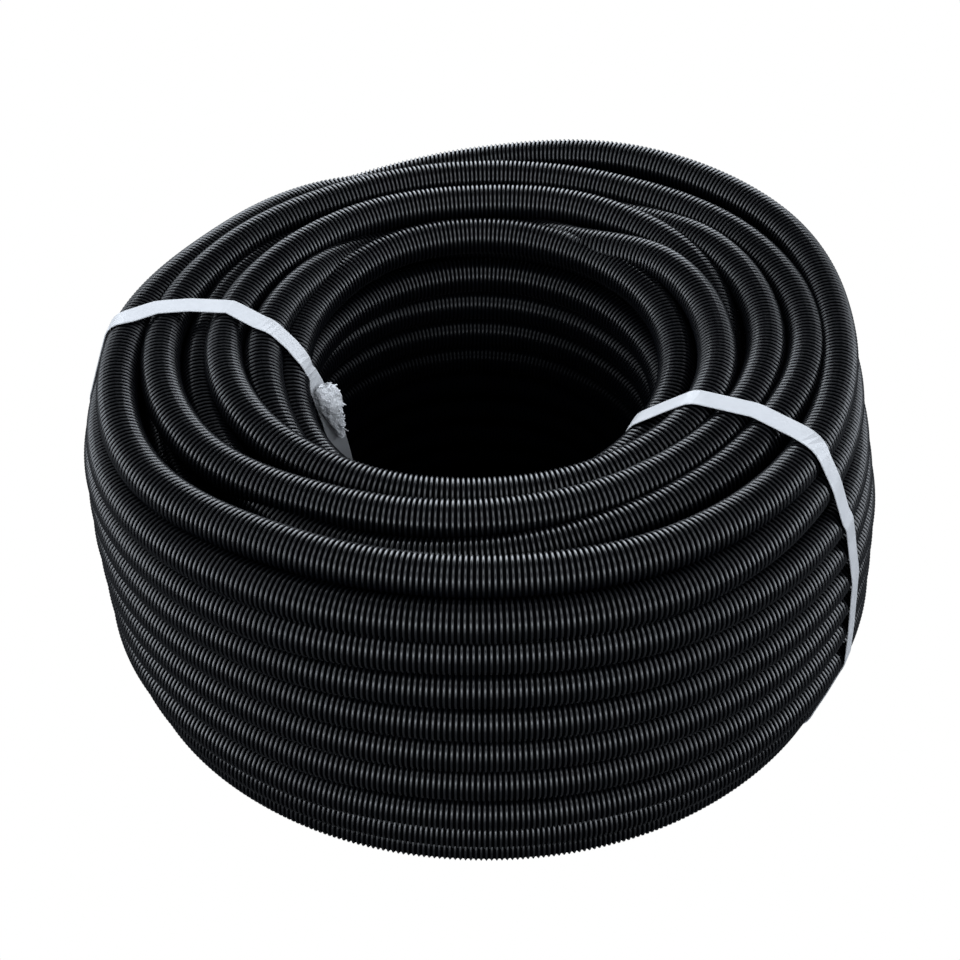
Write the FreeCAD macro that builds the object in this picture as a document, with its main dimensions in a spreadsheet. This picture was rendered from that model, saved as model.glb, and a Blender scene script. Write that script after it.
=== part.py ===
# A roll of black corrugated conduit, lying on its end and tied by two white plastic straps.
#
# Frame: Z is the axis of the roll, the floor is Z = 0 and the front of the roll faces -Y.
# All lengths are millimetres and all angles are degrees.
#
# The roll is one turned solid. Its outline is the row of conduit turns that can be seen all
# round its section: up the wall of the bore, over the crowned top, down the leaning side and
# back under the roll. Each turn shows as one arc, and neighbouring turns press together.
# The turns are numbered in that order, from 0 at the foot of the wall of the bore.
#
# Each strap is a flat band round the section, in an upright plane that passes a little to
# one side of the axis. It bites into the crests of the turns, so the roll has a seat for it.
import FreeCAD, Part
import math
import os

import Sketcher
from FreeCAD import Placement, Rotation, Vector

DRIVING = [
    ("conduit_dia", 21.2, "outside diameter over the ribs"),
    ("turn_press", 0.3, "how far neighbouring turns press together"),
    ("bore_dia", 185.0, "clear bore through the roll"),
    ("shoulder_angle", 36.0, "slope of the outermost step of the crowned top"),
    ("crown_angle", 7.0, "slope of the next step towards the crown"),
    ("side_lean", 3.0, "how far the outer side leans out towards the floor"),
    ("heel_angle", 83.0, "slope of the first step under the side"),
    ("strap_width", 12.0, "flat strap, across"),
    ("strap_thickness", 0.8, "flat strap, through"),
    ("strap_bite", 1.2, "how far the inside of a strap sinks below the crests of the turns"),
    ("left_strap_azimuth", 172.0, "direction of the left strap, from +X"),
    ("left_strap_offset", 18.0, "how far the left strap passes beside the axis"),
    ("right_strap_azimuth", -27.0, "direction of the right strap, from +X"),
    ("right_strap_offset", -8.0, "how far the right strap passes beside the axis"),
    ("seat_clearance", 0.3, "room beside a strap or a seal in its seat"),
    ("seal_width", 17.0, "crimped seal of the left strap, across"),
    ("seal_length", 34.0, "crimped seal, along the strap"),
    ("seal_thickness", 6.0, "crimped seal, through"),
    ("seal_height", 150.0, "middle of the seal above the floor"),
    ("seal_round", 2.4, "rounding of the seal's edges"),
]

SIDE_TURNS = 8        # turns in the straight part of the side, and of the wall of the bore
CROWN_STEPS = 1       # level steps across the top of the crown
SOLE_STEPS = 3        # level steps between the turns that stand on the floor


class Sizes:
    """The sheet of sizes: driving numbers first, then the sizes worked out from them."""

    def __init__(self, doc):
        self.sheet = doc.addObject("Spreadsheet::Sheet", "Sizes")
        self.row = 0
        for alias, number, note in DRIVING:
            self.add(alias, str(number), note)

    def add(self, alias, content, note=""):
        self.row += 1
        self.sheet.set("A%d" % self.row, note)
        self.sheet.set("B%d" % self.row, content)
        self.sheet.setAlias("B%d" % self.row, alias)

    def number(self, alias):
        cell = self.sheet.get(alias)
        return float(getattr(cell, "Value", cell))


def headings():
    """Heading of each step from one turn to the next, as text for the sheet."""
    rise = ["90"] * (SIDE_TURNS - 1)
    climb = ["shoulder_angle", "crown_angle"]
    crown = ["0"] * CROWN_STEPS
    drop = ["-crown_angle", "-shoulder_angle"]
    fall = ["-90 + side_lean"] * (SIDE_TURNS - 1)
    tuck = ["-180 + heel_angle", "-180 + sole_angle"]
    sole = ["180"] * SOLE_STEPS
    lift = ["180 - sole_angle"]
    return rise + climb + crown + drop + fall + tuck + sole + lift


def add_outline(sizes):
    """The radius and the height of each turn of the outline, and how many turns there are."""
    sizes.add("spacing", "=conduit_dia - turn_press", "centre to centre")
    sizes.add("sole_angle",
              "=acos(cos(shoulder_angle) + cos(crown_angle) - cos(heel_angle)"
              " + (%d - %d + %d * sin(side_lean)) / 2) / 1 deg"
              % (CROWN_STEPS, SOLE_STEPS, SIDE_TURNS - 1),
              "slope of the second step under the side, which closes the outline")
    sizes.add("turn_radius_0", "=(bore_dia + conduit_dia) / 2")
    sizes.add("turn_height_0",
              "=conduit_dia / 2 + spacing * (sin(heel_angle) + sin(sole_angle)"
              " - %d * (1 - cos(side_lean)))" % (SIDE_TURNS - 1),
              "so that the lowest turns stand on the floor")
    steps = headings()
    for index, heading in enumerate(steps):
        sizes.add("turn_radius_%d" % (index + 1),
                  "=turn_radius_%d + spacing * cos(%s)" % (index, heading))
        sizes.add("turn_height_%d" % (index + 1),
                  "=turn_height_%d + spacing * sin(%s)" % (index, heading))
    return len(steps) + 1


def add_strap_sizes(sizes, turns):
    """Where each turn lies in the plane of each strap, and the reach of each band's arcs."""
    for side in ("left", "right"):
        for index in range(turns):
            sizes.add("%s_along_%d" % (side, index),
                      "=sqrt(turn_radius_%d ^ 2 - %s_strap_offset ^ 2)" % (index, side))
    sizes.add("strap_inside", "=conduit_dia / 2 - strap_bite", "from a turn's centre")
    sizes.add("strap_outside", "=strap_inside + strap_thickness", "from a turn's centre")
    sizes.add("seat_outside", "=strap_inside + conduit_dia", "from a turn's centre")
    sizes.add("seat_width", "=strap_width + 2 * seat_clearance")
    sizes.add("seal_back", "=left_along_0 - strap_outside", "on the strap, in its plane")
    sizes.add("seal_low", "=seal_height - seal_length / 2", "lower end above the floor")


def new_sketch(body, name, role):
    """A sketch on one of the body's own origin planes."""
    sketch = body.newObject("Sketcher::SketchObject", name)
    plane = next(item for item in body.Origin.OriginFeatures if item.Role == role)
    sketch.AttachmentSupport = [(plane, "")]
    sketch.MapMode = "FlatFace"
    return sketch


def bind(sketch, constraint, name, alias):
    """A dimension of the sketch that follows a cell of the sheet."""
    index = sketch.addConstraint(constraint)
    sketch.renameConstraint(index, name)
    sketch.setExpression("Constraints." + name, "Sizes." + alias)


def bind_centre(sketch, arc, centre, across, up):
    """The centre of an arc, from the origin of the sketch."""
    bind(sketch, Sketcher.Constraint("DistanceX", -1, 1, arc, 3, centre.x),
         "across_%d" % arc, across)
    bind(sketch, Sketcher.Constraint("DistanceY", -1, 1, arc, 3, centre.y),
         "up_%d" % arc, up)


def arc_between(centre, radius, start, end):
    """The arc about the centre that runs counter-clockwise between two directions."""
    circle = Part.Circle(centre, Vector(0, 0, 1), radius)
    return Part.ArcOfCircle(circle, math.atan2(start.y, start.x), math.atan2(end.y, end.x))


def notch(first, second, radius):
    """Where two neighbouring turns of the outline meet, on its outside."""
    step = second - first
    depth = math.sqrt(radius ** 2 - step.Length ** 2 / 4)
    outward = Vector(-step.y, step.x, 0).normalize()
    return (first + second) / 2 + outward * depth


def make_roll(doc, sizes, turns):
    """The turned solid: one arc for each turn of the outline, revolved about the axis."""
    body = doc.addObject("PartDesign::Body", "Roll")
    sketch = new_sketch(body, "RollOutline", "XZ_Plane")
    radius = sizes.number("conduit_dia") / 2
    centres = [Vector(sizes.number("turn_radius_%d" % i), sizes.number("turn_height_%d" % i), 0)
               for i in range(turns)]
    notches = [notch(centres[i], centres[(i + 1) % turns], radius) for i in range(turns)]
    for i, centre in enumerate(centres):
        sketch.addGeometry(arc_between(centre, radius, notches[i] - centre,
                                       notches[i - 1] - centre), False)
    for i in range(turns):
        sketch.addConstraint(Sketcher.Constraint("Coincident", i, 1, (i + 1) % turns, 2))
    for i in range(1, turns):
        sketch.addConstraint(Sketcher.Constraint("Equal", 0, i))
    bind(sketch, Sketcher.Constraint("Diameter", 0, 2 * radius), "turn_dia", "conduit_dia")
    for i, centre in enumerate(centres):
        bind_centre(sketch, i, centre, "turn_radius_%d" % i, "turn_height_%d" % i)
    turned = body.newObject("PartDesign::Revolution", "RollTurned")
    turned.Profile = sketch
    turned.ReferenceAxis = (sketch, ["V_Axis"])
    turned.Angle = 360
    return body


def hull_side(points):
    """The turns on one side of the convex hull of the points, which come in order along."""
    chain = []
    for point in points:
        while len(chain) > 1 and not bends_left(chain[-2], chain[-1], point):
            chain.pop()
        chain.append(point)
    return chain[:-1]


def bends_left(first, second, third):
    """Whether the way past the three points turns left, by more than a hair."""
    run = Vector(second[0] - first[0], second[1] - first[1], 0).normalize()
    turn = Vector(third[0] - first[0], third[1] - first[1], 0).normalize()
    return run.cross(turn).z > 0.001


def strap_corners(sizes, turns, side):
    """The turns that a tight strap bears on, counter-clockwise in its plane."""
    points = sorted((round(sizes.number("%s_along_%d" % (side, i)), 6),
                     round(sizes.number("turn_height_%d" % i), 6), i) for i in range(turns))
    return [point[2] for point in hull_side(points) + hull_side(points[::-1])]


def strap_plane(sizes, side):
    """The upright plane of a strap: its X runs outwards from the axis and its Y runs up."""
    azimuth = Rotation(Vector(0, 0, 1), sizes.number(side + "_strap_azimuth"))
    beside = azimuth.multVec(Vector(0, sizes.number(side + "_strap_offset"), 0))
    return Placement(beside, azimuth * Rotation(Vector(1, 0, 0), 90))


def add_loop(sketch, sizes, side, corners, reach):
    """A closed loop round the corners: straight runs joined by arcs that reach that far."""
    count = len(corners)
    radius = sizes.number(reach)
    places = [Vector(sizes.number("%s_along_%d" % (side, i)),
                     sizes.number("turn_height_%d" % i), 0) for i in corners]
    steps = [(places[(i + 1) % count] - places[i]).normalize() for i in range(count)]
    outward = [Vector(step.y, -step.x, 0) for step in steps]
    first = sketch.GeometryCount
    for i, place in enumerate(places):
        sketch.addGeometry(arc_between(place, radius, outward[i - 1], outward[i]), False)
        after = places[(i + 1) % count]
        sketch.addGeometry(Part.LineSegment(place + outward[i] * radius,
                                            after + outward[i] * radius), False)
    for i, turn in enumerate(corners):
        arc = first + 2 * i
        next_arc = first + 2 * ((i + 1) % count)
        sketch.addConstraint(Sketcher.Constraint("Tangent", arc, 2, arc + 1, 1))
        sketch.addConstraint(Sketcher.Constraint("Tangent", arc + 1, 2, next_arc, 1))
        bind_centre(sketch, arc, places[i], "%s_along_%d" % (side, turn),
                    "turn_height_%d" % turn)
        if arc != first:
            sketch.addConstraint(Sketcher.Constraint("Equal", first, arc))
    bind(sketch, Sketcher.Constraint("Radius", first, radius), reach, reach)


def make_band(doc, sizes, turns, side, kind, outside, width):
    """A flat band round the section, from a strap's inner face out to another loop."""
    body = doc.addObject("PartDesign::Body", side.capitalize() + kind)
    sketch = new_sketch(body, body.Name + "Loops", "XY_Plane")
    corners = strap_corners(sizes, turns, side)
    add_loop(sketch, sizes, side, corners, "strap_inside")
    add_loop(sketch, sizes, side, corners, outside)
    pad = body.newObject("PartDesign::Pad", body.Name + "Pad")
    pad.Profile = sketch
    pad.SideType = "Symmetric"
    pad.setExpression("Length", "Sizes." + width)
    body.Placement = strap_plane(sizes, side)
    return body


def make_strap(doc, sizes, turns, side):
    """A closed strap, drawn tight round the section."""
    return make_band(doc, sizes, turns, side, "Strap", "strap_outside", "strap_width")


def make_strap_seat(doc, sizes, turns, side):
    """What a strap presses out of the roll: all that lies outside its inner face."""
    return make_band(doc, sizes, turns, side, "Seat", "seat_outside", "seat_width")


def make_seal(doc, sizes):
    """The crimped seal that joins the ends of the left strap, on the wall of the bore."""
    body = doc.addObject("PartDesign::Body", "Seal")
    sketch = new_sketch(body, "SealSide", "XY_Plane")
    back = sizes.number("seal_back")
    front = back - sizes.number("seal_thickness")
    low = sizes.number("seal_low")
    high = low + sizes.number("seal_length")
    corners = [Vector(front, low, 0), Vector(back, low, 0),
               Vector(back, high, 0), Vector(front, high, 0)]
    for i in range(4):
        sketch.addGeometry(Part.LineSegment(corners[i], corners[(i + 1) % 4]), False)
    for i in range(4):
        sketch.addConstraint(Sketcher.Constraint("Coincident", i, 2, (i + 1) % 4, 1))
        sketch.addConstraint(Sketcher.Constraint("Vertical" if i % 2 else "Horizontal", i))
    bind(sketch, Sketcher.Constraint("DistanceX", -1, 1, 0, 2, back), "back", "seal_back")
    bind(sketch, Sketcher.Constraint("DistanceY", -1, 1, 0, 2, low), "low", "seal_low")
    bind(sketch, Sketcher.Constraint("DistanceX", 0, 1, 0, 2, back - front),
         "thickness", "seal_thickness")
    bind(sketch, Sketcher.Constraint("DistanceY", 1, 1, 1, 2, high - low),
         "length", "seal_length")
    pad = body.newObject("PartDesign::Pad", "SealPad")
    pad.Profile = sketch
    pad.SideType = "Symmetric"
    pad.setExpression("Length", "Sizes.seal_width")
    doc.recompute()
    rounding = body.newObject("PartDesign::Fillet", "SealRound")
    rounding.Base = (pad, ["Edge%d" % (i + 1) for i in range(len(pad.Shape.Edges))])
    rounding.setExpression("Radius", "Sizes.seal_round")
    body.Placement = strap_plane(sizes, "left")
    return body


def make_seal_seat(doc, sizes):
    """Where the seal presses into the turns at both sides of the strap."""
    seat = doc.addObject("Part::Box", "SealSeat")
    seat.setExpression("Length", "Sizes.seal_thickness")
    seat.setExpression("Width", "Sizes.seal_length + 2 * Sizes.seat_clearance")
    seat.setExpression("Height", "Sizes.seal_width + 2 * Sizes.seat_clearance")
    clearance = sizes.number("seat_clearance")
    corner = Vector(sizes.number("seal_back") - sizes.number("seal_thickness"),
                    sizes.number("seal_low") - clearance,
                    -sizes.number("seal_width") / 2 - clearance)
    seat.Placement = strap_plane(sizes, "left") * Placement(corner, Rotation())
    return seat


def make_coil(doc, roll, seats):
    """The roll with the seats that the straps and the seal press into it."""
    pressed = doc.addObject("Part::MultiFuse", "Seats")
    pressed.Shapes = seats
    coil = doc.addObject("Part::Cut", "Coil")
    coil.Base = roll
    coil.Tool = pressed
    return coil


def check(doc, pieces):
    """Every object is sound and every piece is one valid solid."""
    for item in doc.Objects:
        if "Invalid" in item.State or "Error" in item.State:
            raise RuntimeError("%s is %s" % (item.Name, item.State))
    for piece in pieces:
        shape = piece.Shape
        if shape.isNull() or not shape.isValid() or len(shape.Solids) != 1:
            raise RuntimeError("%s is not one valid solid" % piece.Label)


def main():
    doc = FreeCAD.newDocument("CorrugatedConduitRoll")
    sizes = Sizes(doc)
    turns = add_outline(sizes)
    add_strap_sizes(sizes, turns)
    doc.recompute()
    seats = [make_strap_seat(doc, sizes, turns, side) for side in ("left", "right")]
    seats.append(make_seal_seat(doc, sizes))
    named = {
        "conduit_coil": make_coil(doc, make_roll(doc, sizes, turns), seats),
        "left_strap": make_strap(doc, sizes, turns, "left"),
        "right_strap": make_strap(doc, sizes, turns, "right"),
        "strap_seal": make_seal(doc, sizes),
    }
    for label, piece in named.items():
        piece.Label = label
    doc.recompute()
    check(doc, named.values())
    os.makedirs("parts", exist_ok=True)
    for label, piece in named.items():
        piece.Shape.exportStep("parts/%s.step" % label)
        print(label, round(piece.Shape.Volume), piece.Shape.optimalBoundingBox(False, False))


main()
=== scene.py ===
"""A roll of black corrugated conduit, tied with two white plastic straps.

The conduit is one endless winding: up the wall of the bore, outward over the top, down the
side and back inward underneath. Lengths are in metres, the frame is that of the solids, and an
azimuth counts anticlockwise from +X as seen from above. The camera stands on the -Y side, the
front.
"""

import math

import bpy
import numpy as np
from mathutils import Matrix, Vector
from mathutils.geometry import convex_hull_2d


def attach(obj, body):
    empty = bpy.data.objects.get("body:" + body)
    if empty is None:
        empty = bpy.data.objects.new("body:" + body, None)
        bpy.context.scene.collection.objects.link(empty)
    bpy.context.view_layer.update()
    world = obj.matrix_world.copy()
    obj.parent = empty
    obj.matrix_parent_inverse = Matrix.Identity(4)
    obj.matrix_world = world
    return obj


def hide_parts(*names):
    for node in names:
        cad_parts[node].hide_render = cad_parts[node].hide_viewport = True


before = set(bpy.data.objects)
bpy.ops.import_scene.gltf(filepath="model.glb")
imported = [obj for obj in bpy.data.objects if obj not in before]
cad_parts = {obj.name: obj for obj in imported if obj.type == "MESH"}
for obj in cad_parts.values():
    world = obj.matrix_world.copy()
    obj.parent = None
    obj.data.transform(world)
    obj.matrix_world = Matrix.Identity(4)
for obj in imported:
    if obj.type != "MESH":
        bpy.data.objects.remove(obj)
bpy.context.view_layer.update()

MM = 0.001
UP = np.array((0.0, 0.0, 1.0))

# The conduit and how it is wound, the same as in the solid
CONDUIT = 21.2 * MM
TURN_PRESS = 0.3 * MM
BORE = 185 * MM
SPACING = CONDUIT - TURN_PRESS
SIDE_TURNS = 8
CROWN_STEPS = 1
SLOPED_STEPS = 4
SOLE_STEPS = 3
SHOULDER = math.radians(36)
CROWN = math.radians(7)
SIDE_LEAN = math.radians(3)
HEEL = math.radians(83)
FIRST_AZIMUTH = math.radians(90)
STOPS = 12

# The loose winding has more turns over the top. Two turns low on the side are dropped, and the
# next four, at the heel and underneath, have places of their own.
EXTRA_TOP_TURNS = 2
FIRST_SIDE_TURN = SIDE_TURNS - 1 + CROWN_STEPS + SLOPED_STEPS + EXTRA_TOP_TURNS
DROPPED_TURNS = slice(20, 22)
DROP = np.array((4, 6)) * MM
PLACED_TURNS = slice(22, 26)
PLACES = np.array(((194, 20.5), (181.5, 10.6), (162, 10.6), (143, 10.6))) * MM

# The conduit's ribs: places along one rib, from the groove before it, and how deep each lies
RIB_PITCH = 2.6 * MM
RIB_DEPTH = 1.2 * MM
FINE_RIB = ((0.0, 0.9), (0.34, 0.0), (0.68, 0.9))
PLAIN_RIB = ((0.0, 1.0), (0.5, 0.0))

# The arc of the conduit that faces out of the roll, and the segments on it and on the rest
SEEN_ARC = math.radians(220)
FINE_SEGMENTS = (12, 3)
PLAIN_SEGMENTS = (7, 2)

# Steps, in turns, for measuring the winding and for finding where a strap crosses it, and how
# far before and after a turn the outline is looked at for its direction
LENGTH_STEP = 1 / 720
CROSSING_STEP = 1 / 2000
OUTLINE_REACH = 0.6
TINY = 1e-9

# Deep in the bore and underneath it the conduit lies in the dark, painted as shade by dimming its
# shine: turns and how much they shine
LIT_TURNS = ((2.5, 5.0, 7.0, 23.0, 26.0), (0.0, 0.3, 0.9, 1.0, 0.0))
INNER_LIT = 0.5

# The inside of the roll: a few turns under the loose top, and a plain body below them
INNER_TURNS = ((127, 171), (148, 173), (169, 173))
BODY_OUTLINE = ((127, 34), (186, 34), (186, 158), (127, 158))
BODY_RINGS = 96

# The straps
STRAP_WIDTH = 11 * MM
STRAP_THICKNESS = 0.7 * MM
STRAP_ROUNDING = 0.25 * MM
STRAP_STEP = 3 * MM
STRAP_OVER_CRESTS = 0.7 * MM
STRAP_OFF_FLOOR = 0.4 * MM
RIM_POINTS = 72
LEFT_STRAP = (math.radians(172), 18 * MM)
RIGHT_STRAP = (math.radians(-27), -8 * MM)
LEFT_STRAP_SLACK = 15 * MM
LEFT_STRAP_TWIST = math.radians(55)
SLACK_HEIGHTS = (20 * MM, 190 * MM)
# How far in mm each strap strays sideways from its plane, at distances in mm from the axis
LEFT_STRAP_BOW = ((88, 6), (98, 0), (115, -5), (133, -14), (155, -13), (172, -9), (186, 1),
                  (200, 4))
RIGHT_STRAP_BOW = ((90, -9), (99, -6), (109, -3), (125, 1), (153, 4), (178, -2), (192, -8),
                   (208, -10), (222, 2))

# The crimped and frayed joint of the left strap: width, thickness and length of its lump, and
# its share of the width at places down its length
SEAL_PLACE = (77.5 * MM, 164 * MM)
SEAL_SHIFT = 7 * MM
SEAL_SIZE = (14 * MM, 9 * MM, 37 * MM)
SEAL_LEAN = math.radians(11)
SEAL_WIDTHS = ((0, 0.05, 0.15, 0.35, 0.6, 0.85, 1), (0.4, 0.75, 0.95, 1, 0.65, 0.4, 0.3))
SEAL_RINGS = 40
SEAL_SIDES = 32
# Its knobs, in three sets: height, waves round it, waves along it and where they start
SEAL_KNOBS = ((0.08, 3, 9, 0), (0.06, 7, -17, 1), (0.05, 11, 31, 0))

# Slivers torn from the lump, each value between two limits: the place down it, the parts of its
# half width and of its thickness, the direction out, through and along, and the size
SHREDS = 120
SHRED_SEED = 4
SHRED_DOWN = (0.02, 0.85)
SHRED_ACROSS = (0.3, 0.9)
SHRED_THROUGH = (-0.35, 0.35)
SHRED_WAYS = ((0.3, 1.0), (-0.9, 0.9), (-1, 0.5))
SHRED_HALF_WIDTH_MM = (0.3, 0.9)
SHRED_LENGTH_MM = (1.0, 3.4)
SHRED_THICKNESS = 0.15 * MM
SHRED_TIP = 0.3
SHRED_FACES = ((0, 2, 4, 6), (7, 5, 3, 1), (0, 1, 3, 2), (2, 3, 5, 4), (4, 5, 7, 6), (6, 7, 1, 0))

# The turns at the top of the roll, laid so that their outlines fall as in the photograph, with
# heights that are judged: radius and height in mm of the conduit's centre at the back, then
# every 30 degrees by the left, the front and the right
TOP_TURNS = {
    6: ((103, 167), (102, 167), (101, 167), (101, 168), (102, 170), (103, 172),
        (103, 176), (104, 181), (105, 187), (105, 190), (105, 192), (104, 193)),
    7: ((104, 194), (104, 193), (102, 190), (101, 189), (106, 182), (111, 178),
        (116, 179), (119, 177), (118, 177), (117, 177), (117, 177), (117, 178)),
    8: ((117, 180), (117, 188), (111, 198), (114, 200), (119, 195), (130, 185),
        (138, 180), (136, 182), (128, 186), (129, 193), (136, 199), (132, 202)),
    9: ((126, 202), (128, 202), (131, 202), (135, 202), (131, 202), (121, 198),
        (112, 194), (117, 197), (125, 202), (124, 202), (120, 202), (109, 194)),
    10: ((132, 182), (148, 188), (148, 194), (147, 195), (150, 192), (157, 192),
         (151, 194), (153, 200), (160, 202), (172, 202), (171, 202), (158, 202)),
    11: ((152, 202), (153, 202), (161, 202), (168, 202), (162, 202), (143, 202),
         (134, 202), (135, 202), (142, 202), (151, 202), (152, 202), (144, 193)),
    12: ((162, 184), (181, 187), (176, 197), (187, 202), (191, 202), (177.5, 205),
         (172.6, 205), (178.6, 205), (183, 202), (188, 202), (196, 204), (189, 204)),
    13: ((182, 193), (188, 179), (190, 179), (196, 178), (201, 187), (194, 193),
         (189, 194), (192, 192), (191, 189), (193, 182), (196, 183), (198, 184)),
}
# Radius in mm of four turns of the side, at the same azimuths
SIDE_TURNS_SEEN = (14, 16, 19, 21)
SIDE_RADII = (
    (197, 199, 201, 203, 204, 200, 193, 198, 200, 197, 199, 198),
    (200, 201, 202, 205, 207, 203, 199.5, 203, 208, 207, 204, 201),
    (205, 205, 205, 205, 209, 208, 206, 209, 213, 214, 209, 206),
    (199, 199, 199, 198, 200, 198, 196, 199, 204, 207, 202, 200),
)
# How far in mm the highest turn of the side lies lower than in the solid, at the same azimuths,
# and what share of that is left at the foot
SIDE_SAG = (7, 24, 22, 24, 14, 2, 0, 1, 6, 10, 8, 5.5)
SIDE_SAG_AT_FOOT = 0.45

# Colours, most of them in pairs that are mottled together
BLACK_CREST = ((0.0010, 0.0012, 0.0020), (0.0020, 0.0024, 0.0036))
# painted shade: the dark colour that the grooves are given
GROOVE_PAINTED_SHADE = (0.0006, 0.0006, 0.0008)
BLACK_INSIDE = ((0.002, 0.002, 0.002), (0.004, 0.004, 0.005))
WHITE_STRAP = ((0.37, 0.375, 0.385), (0.48, 0.485, 0.495))
WHITE_FRAYED = ((0.62, 0.63, 0.65), (0.95, 0.95, 0.96))
# Depths in a groove between which the conduit's shine is taken out, as painted shade in the
# grooves
GROOVE_SHADE_DEPTHS = (0.15, 0.65)

# The camera, fitted to the photograph
CAMERA_PLACE = Vector((0.0, -0.6242, 0.7081))
CAMERA_PITCH = math.radians(44.4)
CAMERA_YAW = -0.0019
CAMERA_ROLL = math.radians(-0.8)
CAMERA_LENS = 56.69
CAMERA_SENSOR = 36

# The floor: half its width, how grey it lights the roll, and the edge of the painted shadow in its
# middle
FLOOR_HALF = 3.0
FLOOR_GREY = (0.06, 0.06, 0.06, 1)
FLOOR_PAINTED_SHADOW_EDGE = (0.165, 0.175)

# The room by direction: brightness of its walls and ceiling, the share of it at the front, and
# where one passes into the other
LIGHT_COLOUR = (0.86, 0.92, 1.0)
ROOM_WALLS = 2.0
ROOM_CEILING = 0.1
ROOM_CEILING_EDGE = (0.5, 0.8)
ROOM_FRONT_SHARE = 0.5
ROOM_FRONT_EDGE = (-0.7, -0.3)

# The softboxes, which all face the roll: place, width and height, and watts
SOFTBOX_TARGET = (0, 0, 0.1)
SOFTBOXES = {
    "back_softbox": ((0.0, 1.5, 0.85), (2.6, 1.1), 34),
    "front_softbox": ((0.0, -1.4, 0.8), (2.4, 0.35), 9),
    "top_softbox": ((0.0, -0.55, 1.7), (1.6, 0.8), 7),
    "left_softbox": ((-1.5, -0.2, 0.45), (1.6, 0.7), 11),
    "right_softbox": ((1.5, -0.2, 0.45), (1.6, 0.7), 11),
}


def outline():
    """Turn centres round the section as (radius, height), from the foot of the bore wall."""
    sole = math.acos(
        math.cos(SHOULDER) + math.cos(CROWN) - math.cos(HEEL)
        + (CROWN_STEPS - SOLE_STEPS + (SIDE_TURNS - 1) * math.sin(SIDE_LEAN)) / 2
    )
    headings = (
        [math.pi / 2] * (SIDE_TURNS - 1) + [SHOULDER, CROWN] + [0.0] * CROWN_STEPS
        + [-CROWN, -SHOULDER] + [SIDE_LEAN - math.pi / 2] * (SIDE_TURNS - 1)
        + [HEEL - math.pi, sole - math.pi] + [math.pi] * SOLE_STEPS + [math.pi - sole]
    )
    foot = CONDUIT / 2 + SPACING * (
        math.sin(HEEL) + math.sin(sole) - (SIDE_TURNS - 1) * (1 - math.cos(SIDE_LEAN))
    )
    steps = SPACING * np.stack([np.cos(headings), np.sin(headings)], axis=1)
    return np.concatenate([[(0, 0)], np.cumsum(steps, axis=0)]) + ((BORE + CONDUIT) / 2, foot)


def with_loose_top(centres):
    """The outline of the loose winding, which has more turns over the top than the solid."""
    count = len(centres)
    old = np.interp(
        np.arange(count + EXTRA_TOP_TURNS),
        (0, SIDE_TURNS - 1, FIRST_SIDE_TURN, count + EXTRA_TOP_TURNS - 1),
        (0, SIDE_TURNS - 1, FIRST_SIDE_TURN - EXTRA_TOP_TURNS, count - 1),
    )
    return np.stack([np.interp(old, np.arange(count), column) for column in centres.T], axis=1)


CENTRES = with_loose_top(outline())
CENTRES[DROPPED_TURNS, 1] -= DROP
CENTRES[PLACED_TURNS] = PLACES
TURNS = len(CENTRES)


def side_place(turn, stop, height):
    """The side leans out and then in towards the foot, and its turns sag where there's room."""
    part = (turn - FIRST_SIDE_TURN) / (SIDE_TURNS - 1)
    radius = np.interp(turn, SIDE_TURNS_SEEN, [row[stop] for row in SIDE_RADII])
    sag = SIDE_SAG[stop] * (1 - (1 - SIDE_SAG_AT_FOOT) * part)
    return radius * MM, height - sag * MM


def control_points():
    """Where the winding passes, every 30 degrees of every turn."""
    after = np.roll(CENTRES, -1, axis=0)
    points = np.array([
        CENTRES[k] + (after[k] - CENTRES[k]) * j / STOPS
        for k in range(TURNS) for j in range(STOPS)
    ])
    for turn, places in TOP_TURNS.items():
        points[turn * STOPS:(turn + 1) * STOPS] = np.array(places) * MM
    for turn in range(FIRST_SIDE_TURN, FIRST_SIDE_TURN + SIDE_TURNS):
        for stop in range(STOPS):
            at = turn * STOPS + stop
            points[at] = side_place(turn, stop, points[at][1])
    return points


CONTROLS = control_points()


def unit(vectors):
    return vectors / np.linalg.norm(vectors, axis=1)[:, None]


def square_to(ahead, vectors):
    """Unit vectors square to the way ahead, as near as can be to the given ones."""
    return unit(vectors - (vectors * ahead).sum(1)[:, None] * ahead)


def run_along(points):
    """Distance from the first point to each, along the line through them."""
    return np.concatenate([[0], np.cumsum(np.linalg.norm(np.diff(points, axis=0), axis=1))])


def smooth(points, at):
    """A closed curve through the points; at counts points."""
    i = np.floor(at).astype(int)
    f = (at - i)[:, None]
    a, b, c, d = (points[(i + step) % len(points)] for step in (-1, 0, 1, 2))
    return b + 0.5 * f * (c - a + f * (2 * a - 5 * b + 4 * c - d + f * (3 * (b - c) + d - a)))


def along(s):
    """Centre of the conduit, after s turns of the winding."""
    radius, height = smooth(CONTROLS, s * STOPS).T
    azimuth = FIRST_AZIMUTH + 2 * math.pi * s
    return np.stack([radius * np.cos(azimuth), radius * np.sin(azimuth), height], axis=1)


def outward(s):
    """Direction out of the roll at the conduit's centre, square to the outline."""
    before, after = (smooth(CENTRES, s + step) for step in (-OUTLINE_REACH, OUTLINE_REACH))
    radial, rise = (after - before).T
    azimuth = FIRST_AZIMUTH + 2 * math.pi * s
    return unit(np.stack([-rise * np.cos(azimuth), -rise * np.sin(azimuth), radial], axis=1))


def rib_places(first, last):
    """Turn counts of the ribs' starts between two turns, an even pitch apart."""
    fine = np.arange(first, last + TINY, LENGTH_STEP)
    length = run_along(along(fine))
    ribs = round(length[-1] / RIB_PITCH)
    return lambda counts: np.interp(counts * length[-1] / ribs, length, fine), ribs


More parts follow.
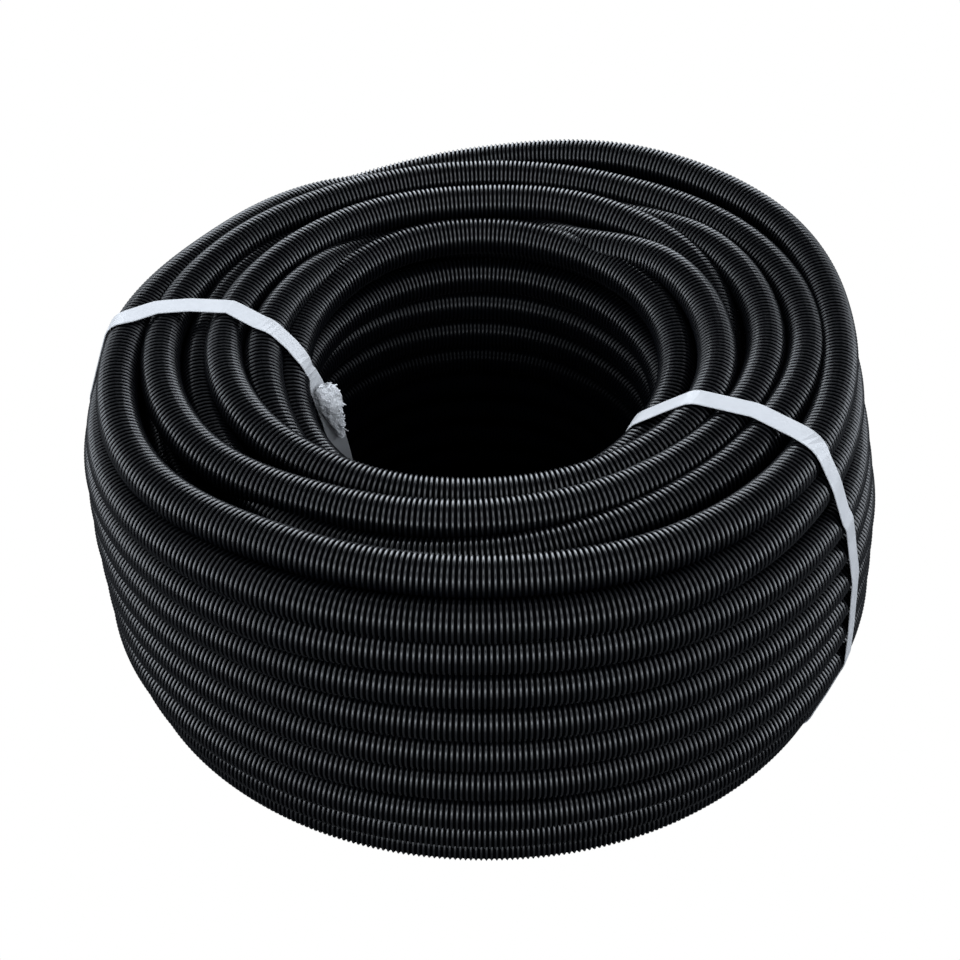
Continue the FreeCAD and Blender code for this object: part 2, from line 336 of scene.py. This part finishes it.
def rib_pattern(rib, ribs):
    """Where each ring of a run of ribs lies, counted in ribs, and how deep in a groove."""
    counts = np.concatenate([[i + part for part, _ in rib] for i in range(ribs)] + [[ribs]])
    depth = np.array([sunk for _, sunk in rib] * ribs + [rib[0][1]])
    return counts, depth


def ring_faces(rings, sides, closed=False):
    """Quads between rings of vertices; a closed run joins its last ring to its first."""
    i, j = np.meshgrid(np.arange(rings if closed else rings - 1), np.arange(sides), indexing="ij")
    k, after = (j + 1) % sides, (i + 1) % rings
    quads = np.stack([i * sides + j, i * sides + k, after * sides + k, after * sides + j], axis=-1)
    return quads.reshape(-1, 4)


def mesh_object(name, verts, faces, material, slot, flat=False, **attributes):
    mesh = bpy.data.meshes.new(name)
    mesh.from_pydata(verts, [], faces)
    for label, values in attributes.items():
        mesh.attributes.new(label, "FLOAT", "POINT").data.foreach_set("value", values)
    if flat:
        mesh.shade_flat()
    else:
        mesh.shade_smooth()
    mesh.materials.append(material)
    made = bpy.data.objects.new(name, mesh)
    bpy.context.scene.collection.objects.link(made)
    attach(made, "root")
    return made


def tube(name, centre, out, depth, lit, segments, material):
    """Ribbed conduit through the centres; each ring has its depth in a groove and its shine, which
    painted shade dims.
    """
    ahead = unit(np.gradient(centre, axis=0))
    out = square_to(ahead, out)
    across = np.cross(ahead, out)
    seen = np.linspace(-SEEN_ARC / 2, SEEN_ARC / 2, segments[0] + 1)
    hidden = np.linspace(SEEN_ARC / 2, 2 * math.pi - SEEN_ARC / 2, segments[1] + 1)[1:-1]
    angle = np.concatenate([seen, hidden])
    radius = (CONDUIT / 2 - RIB_DEPTH * depth)[:, None, None]
    cos, sin = np.cos(angle)[None, :, None], np.sin(angle)[None, :, None]
    verts = centre[:, None] + radius * (cos * out[:, None] + sin * across[:, None])
    made = mesh_object(
        name, verts.reshape(-1, 3), ring_faces(*verts.shape[:2]), material, "conduit_black",
        groove=np.repeat(depth, len(angle)), lit=np.repeat(lit, len(angle)),
    )
    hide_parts("conduit_coil")


def ribbed_conduit(name, first, last, rib, segments, material):
    """The stretch of conduit between two turns of the winding, with its ribs."""
    place, ribs = rib_places(first, last)
    counts, depth = rib_pattern(rib, ribs)
    s = place(counts)
    tube(name, along(s), outward(s), depth, np.interp(s, *LIT_TURNS), segments, material)


def inner_turn(name, radius, height, material):
    """A level turn that shows in the gaps of the loose top."""
    ribs = round(2 * math.pi * radius / RIB_PITCH)
    counts, depth = rib_pattern(PLAIN_RIB, ribs)
    azimuth = 2 * math.pi * counts / ribs
    level = np.full(len(counts), height)
    centre = np.stack([radius * np.cos(azimuth), radius * np.sin(azimuth), level], axis=1)
    # painted shade: these turns lie deep in the roll, and their shine is halved
    out, lit = np.tile(UP, (len(counts), 1)), np.full(len(counts), INNER_LIT)
    tube(name, centre, out, depth, lit, PLAIN_SEGMENTS, material)


def nodes_of(name):
    material = bpy.data.materials.new(name)
    material.use_nodes = True
    return material, material.node_tree.nodes, material.node_tree.links


def noise(nodes, links, scale, detail):
    """Noise in the object's own coordinates."""
    place = nodes.new("ShaderNodeTexCoord")
    texture = nodes.new("ShaderNodeTexNoise")
    texture.inputs["Scale"].default_value = scale
    texture.inputs["Detail"].default_value = detail
    links.new(place.outputs["Object"], texture.inputs["Vector"])
    return texture.outputs["Fac"]


def mixed_colour(nodes, links, factor, first, second):
    mix = nodes.new("ShaderNodeMix")
    mix.data_type = "RGBA"
    for socket, colour in (("A", first), ("B", second)):
        if isinstance(colour, tuple):
            mix.inputs[socket].default_value = (*colour, 1)
        else:
            links.new(colour, mix.inputs[socket])
    links.new(factor, mix.inputs["Factor"])
    return mix.outputs["Result"]


def ranged(nodes, links, value, low, high, start=0.0, end=1.0):
    """The value moved from the range between start and end to that between low and high."""
    mapped = nodes.new("ShaderNodeMapRange")
    limits = {"From Min": start, "From Max": end, "To Min": low, "To Max": high}
    for label, limit in limits.items():
        mapped.inputs[label].default_value = limit
    links.new(value, mapped.inputs["Value"])
    return mapped.outputs["Result"]


def product(nodes, links, first, second):
    times = nodes.new("ShaderNodeMath")
    times.operation = "MULTIPLY"
    links.new(first, times.inputs[0])
    links.new(second, times.inputs[1])
    return times.outputs["Value"]


def stored(nodes, label):
    """A value that the mesh holds at each of its points."""
    attribute = nodes.new("ShaderNodeAttribute")
    attribute.attribute_name = label
    return attribute.outputs["Fac"]


def bumped(nodes, links, height, strength, distance, shader):
    bump = nodes.new("ShaderNodeBump")
    bump.inputs["Strength"].default_value = strength
    bump.inputs["Distance"].default_value = distance
    links.new(height, bump.inputs["Height"])
    links.new(bump.outputs["Normal"], shader.inputs["Normal"])


def black_plastic():
    """Black polyethylene, satin on the ribs, dull and with painted shade in the grooves, a little
    mottled.
    """
    material, nodes, links = nodes_of("black_conduit_plastic")
    shader = nodes["Principled BSDF"]
    groove = stored(nodes, "groove")
    crest = mixed_colour(nodes, links, noise(nodes, links, scale=60, detail=3), *BLACK_CREST)
    # painted shade: the grooves are darkened in colour
    colour = mixed_colour(nodes, links, groove, crest, GROOVE_PAINTED_SHADE)
    links.new(colour, shader.inputs["Base Color"])
    rough = ranged(nodes, links, groove, low=0.22, high=0.6)
    links.new(rough, shader.inputs["Roughness"])
    # painted shade: the shine is taken out in the grooves
    shine = ranged(nodes, links, groove, 1.0, 0.0, *GROOVE_SHADE_DEPTHS)
    # painted shade: the shine is dimmed on the turns that lie in the dark
    shine_under_painted_shade = product(nodes, links, shine, stored(nodes, "lit"))
    links.new(shine_under_painted_shade, shader.inputs["Specular IOR Level"])
    grain = noise(nodes, links, scale=700, detail=2)
    bumped(nodes, links, grain, strength=0.25, distance=0.0003, shader=shader)
    return material


def painted_shade_black_plastic():
    """The inside of the roll, which lies in the dark: a dull copy of the black plastic that hardly
    shines, as painted shade.
    """
    material, nodes, links = nodes_of("dark_inside")
    shader = nodes["Principled BSDF"]
    cloud = noise(nodes, links, scale=80, detail=3)
    links.new(mixed_colour(nodes, links, cloud, *BLACK_INSIDE), shader.inputs["Base Color"])
    shader.inputs["Roughness"].default_value = 0.8
    # painted shade: the inside hardly shines
    shader.inputs["Specular IOR Level"].default_value = 0.1
    return material


def white_strap_plastic():
    """White strap, faintly mottled."""
    material, nodes, links = nodes_of("white_strap_plastic")
    shader = nodes["Principled BSDF"]
    cloud = noise(nodes, links, scale=90, detail=4)
    links.new(mixed_colour(nodes, links, cloud, *WHITE_STRAP), shader.inputs["Base Color"])
    links.new(ranged(nodes, links, cloud, low=0.3, high=0.5), shader.inputs["Roughness"])
    grain = noise(nodes, links, scale=260, detail=3)
    bumped(nodes, links, grain, strength=0.2, distance=0.0004, shader=shader)
    return material


def frayed_plastic():
    """Crushed white plastic of the joint."""
    material, nodes, links = nodes_of("frayed_white_plastic")
    shader = nodes["Principled BSDF"]
    cloud = noise(nodes, links, scale=420, detail=4)
    links.new(mixed_colour(nodes, links, cloud, *WHITE_FRAYED), shader.inputs["Base Color"])
    shader.inputs["Roughness"].default_value = 0.45
    grain = noise(nodes, links, scale=500, detail=4)
    bumped(nodes, links, grain, strength=1.0, distance=0.002, shader=shader)
    return material


def build_inner_body():
    """The plain ring that fills the roll behind its outer turns."""
    profile = np.array(BODY_OUTLINE) * MM
    azimuth = np.arange(BODY_RINGS) * 2 * math.pi / BODY_RINGS
    verts = np.stack([
        np.cos(azimuth)[:, None] * profile[:, 0], np.sin(azimuth)[:, None] * profile[:, 0],
        np.tile(profile[:, 1], (BODY_RINGS, 1)),
    ], axis=-1)
    faces = ring_faces(BODY_RINGS, len(profile), closed=True)
    body = mesh_object("inner_body", verts.reshape(-1, 3), faces, painted_shade_black_plastic(),
                       "conduit_black")
    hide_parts("conduit_coil")


def build_coil():
    """The winding in stretches, from and to a turn, with fine ribs where it's seen close up."""
    black = black_plastic()
    fine, plain = (FINE_RIB, FINE_SEGMENTS), (PLAIN_RIB, PLAIN_SEGMENTS)
    stretches = (
        ("conduit_bore_wall", 0, 5.5, plain),
        ("conduit_bore_edge", 5.5, 8, fine),
        ("conduit_top", 8, 13, fine),
        ("conduit_shoulder", 13, 17, fine),
        ("conduit_side", 17, 21, fine),
        ("conduit_foot", 21, 22, fine),
        ("conduit_underside", 22, 28, plain),
    )
    for name, first, last, (rib, segments) in stretches:
        ribbed_conduit(name, first, last, rib, segments, black)
    for number, (radius, height) in enumerate(INNER_TURNS):
        inner_turn("inner_turn_%d" % number, radius * MM, height * MM, black)
    build_inner_body()


def strap_plane(azimuth, offset):
    """Directions outward and sideways in a strap's upright plane, and its shift sideways."""
    outward_way = np.array((math.cos(azimuth), math.sin(azimuth), 0.0))
    side_way = np.array((-math.sin(azimuth), math.cos(azimuth), 0.0))
    return outward_way, side_way, side_way * offset


def bowed(bow, reach):
    distance, shift = np.array(bow).T * MM
    return np.interp(reach, distance, shift)


def crossings(azimuth, offset, bow):
    """Where the winding passes under a strap: distance outward and height."""
    place = along(np.arange(0, TURNS, CROSSING_STEP))
    outward_way, side_way, _ = strap_plane(azimuth, offset)
    reach = place @ outward_way
    beside = place @ side_way - offset - bowed(bow, reach)
    hit = np.flatnonzero((beside[1:] * beside[:-1] <= 0) & (reach[1:] > 0))
    return np.stack([reach[hit], place[hit, 2]], axis=1)


def tight_path(azimuth, offset, bow):
    """The inner face of a strap drawn tight over the turns that it crosses."""
    turn = np.linspace(0, 2 * math.pi, RIM_POINTS, endpoint=False)
    rim = (CONDUIT / 2 + STRAP_OVER_CRESTS) * np.stack([np.cos(turn), np.sin(turn)], axis=1)
    points = (crossings(azimuth, offset, bow)[:, None] + rim).reshape(-1, 2)
    corners = points[convex_hull_2d([Vector(point) for point in points])]
    corners = np.concatenate([corners, corners[:1]])
    run = run_along(corners)
    even = np.linspace(0, run[-1], round(run[-1] / STRAP_STEP), endpoint=False)
    path = np.stack([np.interp(even, run, corners[:, i]) for i in (0, 1)], axis=1)
    path[:, 1] = np.maximum(path[:, 1], STRAP_THICKNESS + STRAP_OFF_FLOOR)
    return path


def bore_part(path):
    """How far down the wall of the bore each point of a path is, from 0 to 1 and back to 0."""
    low, high = SLACK_HEIGHTS
    part = np.clip((path[:, 1] - low) / (high - low), 0, 1)
    on_wall = path[:, 0] < path[:, 0].min() + STRAP_WIDTH
    return np.where(on_wall, np.sin(math.pi * part), 0)


def strap(name, node, azimuth, offset, bow, material, slack=0.0, twist=0.0):
    """A flat strap with slightly rounded edges, which may hang slack and twisted in the bore."""
    path = tight_path(azimuth, offset, bow)
    loose = bore_part(path)
    outward_way, side_way, beside = strap_plane(azimuth, offset)
    reach = path[:, :1] - slack * loose[:, None]
    centre = beside + reach * outward_way + bowed(bow, path[:, :1]) * side_way + path[:, 1:] * UP
    ahead = unit(np.roll(centre, -1, axis=0) - np.roll(centre, 1, axis=0))
    step = np.roll(path, -1, axis=0) - np.roll(path, 1, axis=0)
    away = square_to(ahead, step[:, 1:] * outward_way - step[:, :1] * UP)
    wide = np.cross(ahead, away)
    turn = twist * np.sqrt(loose)[:, None]
    cos, sin = np.cos(turn), np.sin(turn)
    away, wide = away * cos + wide * sin, wide * cos - away * sin
    half, r, t = STRAP_WIDTH / 2, STRAP_ROUNDING, STRAP_THICKNESS
    section = ((-half, r), (-half + r, 0), (half - r, 0), (half, r),
               (half, t - r), (half - r, t), (-half + r, t), (-half, t - r))
    verts = np.stack(
        [centre + wide * across + away * through for across, through in section], axis=1)
    made = mesh_object(name, verts.reshape(-1, 3), ring_faces(*verts.shape[:2], closed=True),
                       material, "strap_white", flat=True)
    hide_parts(node)


def lump(width, thickness, length):
    """The crushed body of the joint: a flattened, knobbly bead, narrower towards its foot."""
    v, u = np.meshgrid(
        np.linspace(0, 1, SEAL_RINGS), np.arange(SEAL_SIDES) * 2 * math.pi / SEAL_SIDES,
        indexing="ij",
    )
    knobbly = 1
    for height, round_it, along_it, start in SEAL_KNOBS:
        knobbly = knobbly + height * np.sin(round_it * u + along_it * v + start)
    size = np.interp(v, *SEAL_WIDTHS) / 2 * knobbly
    verts = np.stack(
        [width * size * np.cos(u), thickness * size * np.sin(u), (0.5 - v) * length], axis=-1)
    first, last = range(SEAL_SIDES), range((SEAL_RINGS - 1) * SEAL_SIDES, SEAL_RINGS * SEAL_SIDES)
    faces = ring_faces(SEAL_RINGS, SEAL_SIDES).tolist() + [list(first), list(last)[::-1]]
    return verts.reshape(-1, 3), faces


def shreds(width, thickness, length, chance):
    """Torn slivers that stand out from one side of the joint."""
    verts, faces = [], []
    for _ in range(SHREDS):
        v = chance.uniform(*SHRED_DOWN)
        side = width / 2 * np.interp(v, *SEAL_WIDTHS)
        root = np.array((
            side * chance.uniform(*SHRED_ACROSS),
            thickness * chance.uniform(*SHRED_THROUGH),
            (0.5 - v) * length,
        ))
        way = np.array([chance.uniform(*limits) for limits in SHRED_WAYS])
        way /= np.linalg.norm(way)
        wide = np.cross(way, chance.normal(size=3))
        wide *= chance.uniform(*SHRED_HALF_WIDTH_MM) * MM / np.linalg.norm(wide)
        reach = way * chance.uniform(*SHRED_LENGTH_MM) * MM
        thick = np.cross(way, wide)
        thick *= SHRED_THICKNESS / np.linalg.norm(thick)
        first, tip = len(verts), wide * SHRED_TIP
        for end in (root - wide, root + wide, root + reach + tip, root + reach - tip):
            verts += [end - thick, end + thick]
        faces += [[first + corner for corner in quad] for quad in SHRED_FACES]
    return np.array(verts), faces


def build_seal(material):
    """The joint hangs on the left strap inside the bore; its torn side faces right."""
    outward_way, side_way, beside = strap_plane(*LEFT_STRAP)
    wide = -side_way * math.cos(LEFT_STRAP_TWIST) - outward_way * math.sin(LEFT_STRAP_TWIST)
    run = unit((UP + outward_way * math.tan(SEAL_LEAN))[None])[0]
    face = np.cross(wide, run)
    verts, faces = lump(*SEAL_SIZE)
    more_verts, more_faces = shreds(*SEAL_SIZE, np.random.default_rng(SHRED_SEED))
    faces += [[corner + len(verts) for corner in corners] for corners in more_faces]
    local = np.concatenate([verts, more_verts])
    place = beside + side_way * SEAL_SHIFT + outward_way * SEAL_PLACE[0] + UP * SEAL_PLACE[1]
    placed = place + local[:, :1] * wide + local[:, 1:2] * face + local[:, 2:] * run
    made = mesh_object("strap_joint", placed, faces, material, "seal_white")
    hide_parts("strap_seal")


def build_straps():
    white = white_strap_plastic()
    strap("white_strap_left", "left_strap", *LEFT_STRAP, LEFT_STRAP_BOW, white,
          LEFT_STRAP_SLACK, LEFT_STRAP_TWIST)
    strap("white_strap_right", "right_strap", *RIGHT_STRAP, RIGHT_STRAP_BOW, white)
    build_seal(frayed_plastic())


def build_camera():
    data = bpy.data.cameras.new("camera")
    data.lens = CAMERA_LENS
    data.sensor_width = CAMERA_SENSOR
    made = bpy.data.objects.new("camera", data)
    forward = Vector((
        math.sin(CAMERA_YAW) * math.cos(CAMERA_PITCH),
        math.cos(CAMERA_YAW) * math.cos(CAMERA_PITCH),
        -math.sin(CAMERA_PITCH),
    ))
    right = forward.cross(Vector((0, 0, 1))).normalized()
    up = right.cross(forward)
    c, s = math.cos(CAMERA_ROLL), math.sin(CAMERA_ROLL)
    turned = Matrix((c * right + s * up, c * up - s * right, -forward)).transposed().to_4x4()
    made.matrix_world = Matrix.Translation(CAMERA_PLACE) @ turned
    bpy.context.scene.collection.objects.link(made)
    bpy.context.scene.camera = made


def soft_light(name, place, size, watts):
    data = bpy.data.lights.new(name, "AREA")
    data.shape = "RECTANGLE"
    data.size, data.size_y = size
    data.energy = watts
    data.color = LIGHT_COLOUR
    made = bpy.data.objects.new(name, data)
    made.location = place
    way = Vector(SOFTBOX_TARGET) - Vector(place)
    made.rotation_euler = way.to_track_quat("-Z", "Y").to_euler()
    bpy.context.scene.collection.objects.link(made)


def for_the_camera(nodes, links, seen, felt, output):
    """One shader for what the camera sees and another for what lights and is mirrored."""
    rays = nodes.new("ShaderNodeLightPath")
    mix = nodes.new("ShaderNodeMixShader")
    links.new(rays.outputs["Is Camera Ray"], mix.inputs["Fac"])
    links.new(felt, mix.inputs[1])
    links.new(seen, mix.inputs[2])
    links.new(mix.outputs["Shader"], output)


def build_floor():
    """A white floor with a painted shadow where the roll stands, so that the bore shows none of
    it.
    """
    material, nodes, links = nodes_of("white_floor")
    shader = nodes["Principled BSDF"]
    shader.inputs["Base Color"].default_value = FLOOR_GREY
    shader.inputs["Roughness"].default_value = 0.9
    place = nodes.new("ShaderNodeTexCoord")
    reach = nodes.new("ShaderNodeVectorMath")
    reach.operation = "LENGTH"
    links.new(place.outputs["Object"], reach.inputs[0])
    # painted shadow: the white that the camera sees fades to black under the roll
    edge = ranged(nodes, links, reach.outputs["Value"], 0.0, 1.0, *FLOOR_PAINTED_SHADOW_EDGE)
    white = nodes.new("ShaderNodeEmission")
    links.new(edge, white.inputs["Strength"])
    for_the_camera(nodes, links, white.outputs["Emission"], shader.outputs["BSDF"],
                   nodes["Material Output"].inputs["Surface"])
    half = FLOOR_HALF
    mesh = bpy.data.meshes.new("floor")
    mesh.from_pydata([(-half, -half, 0), (half, -half, 0), (half, half, 0), (-half, half, 0)],
                     [], [(0, 1, 2, 3)])
    mesh.materials.append(material)
    floor = bpy.data.objects.new("floor", mesh)
    bpy.context.scene.collection.objects.link(floor)


def build_room():
    """A white backdrop for the camera, and bright walls under a dim ceiling round the roll."""
    world = bpy.data.worlds.new("studio")
    world.use_nodes = True
    bpy.context.scene.world = world
    nodes, links = world.node_tree.nodes, world.node_tree.links
    room, backdrop = nodes["Background"], nodes.new("ShaderNodeBackground")
    backdrop.inputs["Color"].default_value = (1, 1, 1, 1)
    backdrop.inputs["Strength"].default_value = 1.0
    room.inputs["Color"].default_value = (*LIGHT_COLOUR, 1)
    way = nodes.new("ShaderNodeTexCoord")
    parts = nodes.new("ShaderNodeSeparateXYZ")
    links.new(way.outputs["Generated"], parts.inputs["Vector"])
    walls = ranged(nodes, links, parts.outputs["Z"], ROOM_WALLS, ROOM_CEILING, *ROOM_CEILING_EDGE)
    sides = ranged(nodes, links, parts.outputs["Y"], ROOM_FRONT_SHARE, 1.0, *ROOM_FRONT_EDGE)
    links.new(product(nodes, links, walls, sides), room.inputs["Strength"])
    for_the_camera(nodes, links, backdrop.outputs["Background"], room.outputs["Background"],
                   nodes["World Output"].inputs["Surface"])


def build_stage():
    build_floor()
    build_room()
    for name, (place, size, watts) in SOFTBOXES.items():
        soft_light(name, place, size, watts)
    bpy.context.scene.view_settings.view_transform = "Standard"


build_camera()
build_stage()
build_coil()
build_straps()
